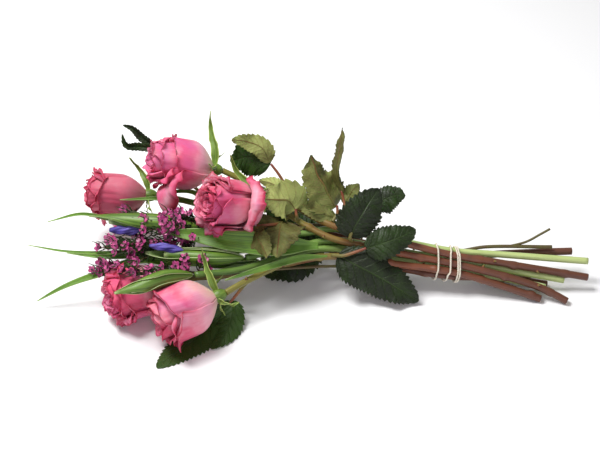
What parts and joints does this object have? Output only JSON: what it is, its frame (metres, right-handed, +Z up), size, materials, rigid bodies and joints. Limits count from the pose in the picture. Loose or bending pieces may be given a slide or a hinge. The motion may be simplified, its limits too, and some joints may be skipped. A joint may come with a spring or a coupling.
{
  "type": "bunch of roses",
  "caption": "Tied bunch of half-open pink roses lying on its side, with iris buds, waxflower sprigs, strap leaves and rose foliage, and a cotton string round the stems.",
  "frame": {"origin": "on the surface that the bunch lies on, under the middle of its bounding box", "axes": "+X from the flower heads towards the cut ends, +Z up"},
  "size_m": [0.4984, 0.2182, 0.1239],
  "materials": {
    "petal": "soft satin petal, pale at its foot and deep rose at its rim",
    "sepal": "waxy leaf green with a pale edge",
    "woody_stem": "smooth reddish-brown bark, olive near the bloom",
    "soft_stem": "waxy pale green",
    "spathe": "satin green bract with fine lengthwise veins and a pale margin",
    "iris_petal": "rolled violet-blue petals",
    "strap_leaf": "satin dark green with lengthwise veins",
    "leaf": "satin dark green above, matt sage green beneath",
    "waxflower": "waxy magenta florets on thin reddish twigs",
    "string": "undyed twisted cotton string"
  },
  "bodies": {
    "root": {"rose_1_heart": "petal", "rose_1_outer_petal_1": "petal", "rose_1_outer_petal_2": "petal", "rose_1_outer_petal_3": "petal", "rose_1_stem": "woody_stem", "rose_1_calyx": "sepal", "rose_2_heart": "petal", "rose_2_outer_petal_1": "petal", "rose_2_outer_petal_2": "petal", "rose_2_outer_petal_3": "petal", "rose_2_stem": "woody_stem", "rose_2_calyx": "sepal", "rose_3_heart": "petal", "rose_3_outer_petal_1": "petal", "rose_3_outer_petal_2": "petal", "rose_3_outer_petal_3": "petal", "rose_3_stem": "woody_stem", "rose_3_calyx": "sepal", "rose_4_heart": "petal", "rose_4_outer_petal_1": "petal", "rose_4_outer_petal_2": "petal", "rose_4_outer_petal_3": "petal", "rose_4_stem": "woody_stem", "rose_4_calyx": "sepal", "rose_5_heart": "petal", "rose_5_outer_petal_1": "petal", "rose_5_outer_petal_2": "petal", "rose_5_outer_petal_3": "petal", "rose_5_stem": "woody_stem", "rose_5_calyx": "sepal", "iris_1_petals": "iris_petal", "iris_1_stem": "soft_stem", "iris_1_spathe": "spathe", "iris_2_petals": "iris_petal", "iris_2_stem": "soft_stem", "iris_2_spathe": "spathe", "iris_3_stem": "soft_stem", "iris_3_spathe": "spathe", "iris_4_shoot": "soft_stem", "leaf_front": "leaf", "leaf_top": "leaf", "leaf_pale": "leaf", "leaf_upright": "leaf", "leaf_cupped": "leaf", "leaf_curled": "leaf", "leaf_hanging": "leaf", "leaf_under": "leaf", "leaf_far": "leaf", "leaf_back_1": "leaf", "leaf_back_2": "leaf", "strap_leaf_1": "strap_leaf", "strap_leaf_2": "strap_leaf", "strap_leaf_3": "strap_leaf", "strap_leaf_4": "strap_leaf", "strap_leaf_5": "strap_leaf", "strap_leaf_6": "strap_leaf", "waxflower_1": "waxflower", "waxflower_2": "waxflower", "waxflower_3": "waxflower", "string_tie": "string"}
  },
  "joints": []
}
